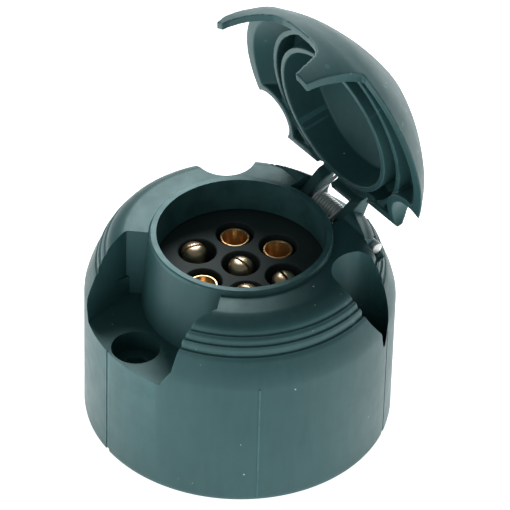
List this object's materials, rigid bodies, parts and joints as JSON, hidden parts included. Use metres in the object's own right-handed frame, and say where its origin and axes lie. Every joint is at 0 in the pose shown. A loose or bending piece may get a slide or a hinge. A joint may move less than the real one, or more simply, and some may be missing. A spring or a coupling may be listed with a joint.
{
  "type": "trailer wiring connector",
  "caption": "Round surface-mount trailer socket with a domed spring hinged cover, contact insert with pins and sleeves, and three recessed mounting screw seats.",
  "frame": {"origin": "centre of the drum's mounting face, on the axis of the plug bore", "axes": "+Z along the plug bore towards its mouth, +Y towards the hinge, X along the hinge axis"},
  "size_m": [0.0664, 0.0723, 0.0938],
  "materials": {
    "moulded_plastic": "semi-matt moulded plastic, dark grey-green, fine dust",
    "insert_plastic": "semi-matt moulded plastic, dark grey-green",
    "pin_brass": "pale turned brass",
    "sleeve_brass": "turned brass with copper-coloured bores",
    "spring_steel": "bright plated wire",
    "pin_steel": "bright cut end",
    "screw_steel": "zinc plated"
  },
  "bodies": {
    "socket": {"housing": "moulded_plastic", "contact_carrier": "insert_plastic", "contact_retainer": "insert_plastic", "pin_1": "pin_brass", "pin_2": "pin_brass", "pin_3": "pin_brass", "pin_4": "pin_brass", "sleeve_1": "sleeve_brass", "sleeve_2": "sleeve_brass", "sleeve_3": "sleeve_brass", "terminal_screw_1": "screw_steel", "terminal_screw_2": "screw_steel", "terminal_screw_3": "screw_steel", "terminal_screw_4": "screw_steel", "terminal_screw_5": "screw_steel", "terminal_screw_6": "screw_steel", "terminal_screw_7": "screw_steel", "retainer_screw_1": "screw_steel", "retainer_screw_2": "screw_steel", "retainer_screw_3": "screw_steel", "hinge_pin": "pin_steel", "torsion_spring": "spring_steel"},
    "cover": {"lid": "moulded_plastic"}
  },
  "joints": [
    {"name": "lid_hinge", "type": "hinge", "parent": "socket", "child": "cover", "pos_m": [0, 0.02365, 0.0414], "axis": [-1, 0, 0], "range_deg": [-80, 25], "deforming": ["torsion_spring"]}
  ]
}
